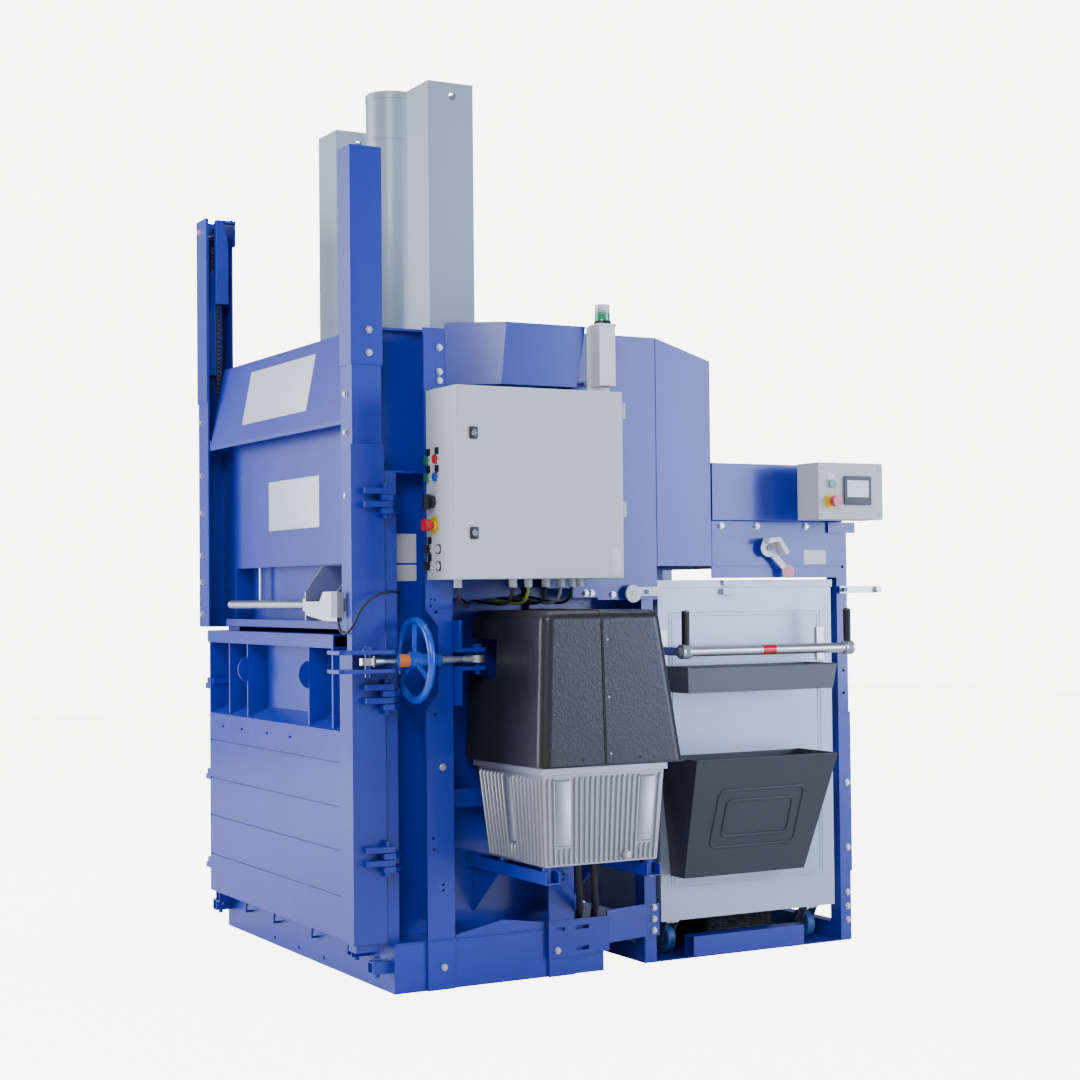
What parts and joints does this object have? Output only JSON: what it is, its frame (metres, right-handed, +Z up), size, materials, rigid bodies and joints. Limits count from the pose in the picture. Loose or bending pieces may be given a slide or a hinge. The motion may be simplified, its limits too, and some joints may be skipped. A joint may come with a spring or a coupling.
{
  "type": "vertical recycling baler with cart loader",
  "caption": "Blue vertical recycling baler with a bale door, screw-locked lock post, lifting feed door, control cabinet, hydraulic power pack and a side cart loader",
  "frame": {"origin": "centre of the press base underside on the floor, under the ram axis", "axes": "+X from the bale door side toward the cart loader, +Y along the bale door from the cabinet side to the hinge side, +Z up"},
  "size_m": [2.141, 1.94, 3.028],
  "materials": {
    "blue_paint": "semi-gloss powder coat",
    "silver_paint": "satin silver-grey paint",
    "light_grey_paint": "fine textured powder coat",
    "cart_grey": "satin grey paint",
    "zinc_steel": "zinc plated",
    "dark_steel": "oiled chain steel",
    "cast_alloy": "raw cast aluminium",
    "black_plastic": "grained vacuum-formed sheet",
    "black_rubber": "plain",
    "grey_plastic": "plain",
    "red_plastic": "plain",
    "green_plastic": "plain",
    "blue_plastic": "plain",
    "wheel_rubber": "blue elastic tread"
  },
  "bodies": {
    "base": {"press_base": "blue_paint", "uprights": "blue_paint", "chamber_shell": "blue_paint", "header_hood": "blue_paint", "guide_near": "blue_paint", "guide_far": "blue_paint", "top_hood": "blue_paint", "loader_cover": "blue_paint", "side_hood": "blue_paint", "dock_frame": "blue_paint", "tank_rails": "blue_paint", "ram_cylinder": "silver_paint", "cabinet": "light_grey_paint", "control_box": "light_grey_paint", "frame_bolts": "zinc_steel", "door_switch": "zinc_steel", "beacon": "zinc_steel", "lift_chain": "dark_steel", "oil_tank": "cast_alloy", "tank_cover": "black_plastic", "hoses": "black_rubber", "cables": "black_rubber", "bellows": "black_rubber"},
    "bale_door": {"bale_door": "blue_paint"},
    "lock_post": {"lock_post": "blue_paint"},
    "turnbuckle": {"turnbuckle_end": "zinc_steel"},
    "handwheel": {"handwheel": "blue_paint"},
    "turnbuckle_rod": {"turnbuckle_rod": "zinc_steel"},
    "lift_door": {"lift_door": "blue_paint", "lift_handle": "zinc_steel"},
    "sprocket": {"chain_sprocket": "dark_steel"},
    "counterweight": {"counterweight": "blue_paint"},
    "ram": {"ram_platen": "blue_paint", "ram_guides": "silver_paint"},
    "cabinet_door": {"cabinet_door": "light_grey_paint"},
    "lock_lower": {"cabinet_lock_1": "zinc_steel"},
    "lock_upper": {"cabinet_lock_2": "zinc_steel"},
    "push_green_1": {"push_green_1": "green_plastic"},
    "push_red": {"push_red": "red_plastic"},
    "push_green_2": {"push_green_2": "green_plastic"},
    "push_blue": {"push_blue": "blue_plastic"},
    "estop_left": {"estop_left": "red_plastic"},
    "main_switch": {"main_switch": "black_plastic"},
    "selector_1": {"selector_1": "black_plastic"},
    "selector_2": {"selector_2": "black_plastic"},
    "control_button": {"control_button": "green_plastic"},
    "estop_right": {"estop_right": "red_plastic"},
    "stop_lever": {"stop_lever": "zinc_steel"},
    "arm_right": {"arm_right": "zinc_steel"},
    "arm_left": {"arm_left": "zinc_steel"},
    "cart": {"cart_body": "cart_grey", "push_bar": "zinc_steel", "cart_tray": "grey_plastic", "cart_bin": "black_plastic"},
    "castor_l": {"castor_fork_l": "zinc_steel"},
    "castor_r": {"castor_fork_r": "zinc_steel"},
    "front_wheel_l": {"front_wheel_l": "wheel_rubber"},
    "front_wheel_r": {"front_wheel_r": "wheel_rubber"},
    "rear_wheel_l": {"rear_wheel_l": "wheel_rubber"},
    "rear_wheel_r": {"rear_wheel_r": "wheel_rubber"}
  },
  "joints": [
    {"name": "bale_door_swing", "type": "hinge", "parent": "base", "child": "bale_door", "pos_m": [-0.427, 0.695, 0.6], "axis": [0, 0, -1], "range_deg": [0, 110]},
    {"name": "lock_post_swing", "type": "hinge", "parent": "base", "child": "lock_post", "pos_m": [-0.371, -0.741, 0.9], "axis": [0, 0, 1], "range_deg": [0, 12]},
    {"name": "turnbuckle_swing", "type": "hinge", "parent": "base", "child": "turnbuckle", "pos_m": [-0.072, -0.783, 1.04], "axis": [0, 0, 1], "range_deg": [0, 2.47]},
    {"name": "turnbuckle_draw", "type": "slide", "parent": "turnbuckle", "child": "turnbuckle_rod", "axis": [1, 0, 0], "range_m": [0, 0.01016]},
    {"name": "handwheel_turn", "type": "hinge", "parent": "turnbuckle", "child": "handwheel", "pos_m": [-0.292, -0.783, 1.04], "axis": [1, 0, 0], "range_deg": [0, 304.78]},
    {"name": "lift_door_slide", "type": "slide", "parent": "base", "child": "lift_door", "axis": [0, 0, 1], "range_m": [0, 0.56]},
    {"name": "counterweight_slide", "type": "slide", "parent": "base", "child": "counterweight", "axis": [0, 0, 1], "range_m": [-0.56, 0]},
    {"name": "sprocket_turn", "type": "hinge", "parent": "base", "child": "sprocket", "pos_m": [-0.419, 0.693, 2.6], "axis": [1, 0, 0], "range_deg": [-1002.7, 0]},
    {"name": "ram_slide", "type": "slide", "parent": "base", "child": "ram", "axis": [0, 0, -1], "range_m": [0, 0.8]},
    {"name": "cabinet_door_swing", "type": "hinge", "parent": "base", "child": "cabinet_door", "pos_m": [0.366, -0.973, 1.59], "axis": [0, 0, 1], "range_deg": [0, 110]},
    {"name": "cabinet_lock_lower_turn", "type": "hinge", "parent": "cabinet_door", "child": "lock_lower", "pos_m": [-0.183, -0.985, 1.434], "axis": [0, -1, 0], "range_deg": [0, 90]},
    {"name": "cabinet_lock_upper_turn", "type": "hinge", "parent": "cabinet_door", "child": "lock_upper", "pos_m": [-0.183, -0.985, 1.743], "axis": [0, -1, 0], "range_deg": [0, 90]},
    {"name": "push_green_1_press", "type": "slide", "parent": "base", "child": "push_green_1", "axis": [1, 0, 0], "range_m": [0, 0.005], "stiffness_N_per_m": 600},
    {"name": "push_red_press", "type": "slide", "parent": "base", "child": "push_red", "axis": [1, 0, 0], "range_m": [0, 0.005], "stiffness_N_per_m": 600},
    {"name": "push_green_2_press", "type": "slide", "parent": "base", "child": "push_green_2", "axis": [1, 0, 0], "range_m": [0, 0.005], "stiffness_N_per_m": 600},
    {"name": "push_blue_press", "type": "slide", "parent": "base", "child": "push_blue", "axis": [1, 0, 0], "range_m": [0, 0.005], "stiffness_N_per_m": 600},
    {"name": "estop_left_press", "type": "slide", "parent": "base", "child": "estop_left", "axis": [1, 0, 0], "range_m": [0, 0.006], "stiffness_N_per_m": 900},
    {"name": "main_switch_turn", "type": "hinge", "parent": "base", "child": "main_switch", "pos_m": [-0.241, -0.82, 1.536], "axis": [1, 0, 0], "range_deg": [0, 90]},
    {"name": "selector_1_turn", "type": "hinge", "parent": "base", "child": "selector_1", "pos_m": [-0.241, -0.792, 1.389], "axis": [1, 0, 0], "range_deg": [-45, 45]},
    {"name": "selector_2_turn", "type": "hinge", "parent": "base", "child": "selector_2", "pos_m": [-0.241, -0.792, 1.336], "axis": [1, 0, 0], "range_deg": [-45, 45]},
    {"name": "control_button_press", "type": "slide", "parent": "base", "child": "control_button", "axis": [0, 1, 0], "range_m": [0, 0.005], "stiffness_N_per_m": 600},
    {"name": "estop_right_press", "type": "slide", "parent": "base", "child": "estop_right", "axis": [0, 1, 0], "range_m": [0, 0.006], "stiffness_N_per_m": 900},
    {"name": "stop_lever_swing", "type": "hinge", "parent": "base", "child": "stop_lever", "pos_m": [1.062, -0.787, 1.395], "axis": [0, 1, 0], "range_deg": [-100, 0]},
    {"name": "arm_right_swing", "type": "hinge", "parent": "base", "child": "arm_right", "pos_m": [1.419, -0.733, 1.248], "axis": [0, 1, 0], "range_deg": [-85, 0]},
    {"name": "arm_left_swing", "type": "hinge", "parent": "base", "child": "arm_left", "pos_m": [0.568, -0.771, 1.248], "axis": [0, 1, 0], "range_deg": [-40, 20]},
    {"name": "cart_roll", "type": "slide", "parent": "base", "child": "cart", "axis": [0, -1, 0], "range_m": [0, 1.35]},
    {"name": "castor_l_swivel", "type": "hinge", "parent": "cart", "child": "castor_l", "pos_m": [0.734, -0.637, 0.11], "axis": [0, 0, 1], "range_deg": [-45, 45]},
    {"name": "front_wheel_l_spin", "type": "hinge", "parent": "castor_l", "child": "front_wheel_l", "pos_m": [0.734, -0.603, 0.054], "axis": [1, 0, 0], "continuous": true},
    {"name": "rear_wheel_l_spin", "type": "hinge", "parent": "cart", "child": "rear_wheel_l", "pos_m": [0.734, 0.383, 0.054], "axis": [1, 0, 0], "continuous": true},
    {"name": "castor_r_swivel", "type": "hinge", "parent": "cart", "child": "castor_r", "pos_m": [1.325, -0.637, 0.11], "axis": [0, 0, 1], "range_deg": [-45, 45]},
    {"name": "front_wheel_r_spin", "type": "hinge", "parent": "castor_r", "child": "front_wheel_r", "pos_m": [1.325, -0.603, 0.054], "axis": [1, 0, 0], "continuous": true},
    {"name": "rear_wheel_r_spin", "type": "hinge", "parent": "cart", "child": "rear_wheel_r", "pos_m": [1.325, 0.383, 0.054], "axis": [1, 0, 0], "continuous": true}
  ],
  "couplings": [
    {"joint": "turnbuckle_swing", "follows": "lock_post_swing", "ratio": 0.20563},
    {"joint": "turnbuckle_draw", "follows": "lock_post_swing", "m_per_rad": 0.048508},
    {"joint": "handwheel_turn", "follows": "lock_post_swing", "ratio": 25.399},
    {"joint": "counterweight_slide", "follows": "lift_door_slide", "ratio": -1},
    {"joint": "sprocket_turn", "follows": "lift_door_slide", "rad_per_m": -31.25}
  ]
}
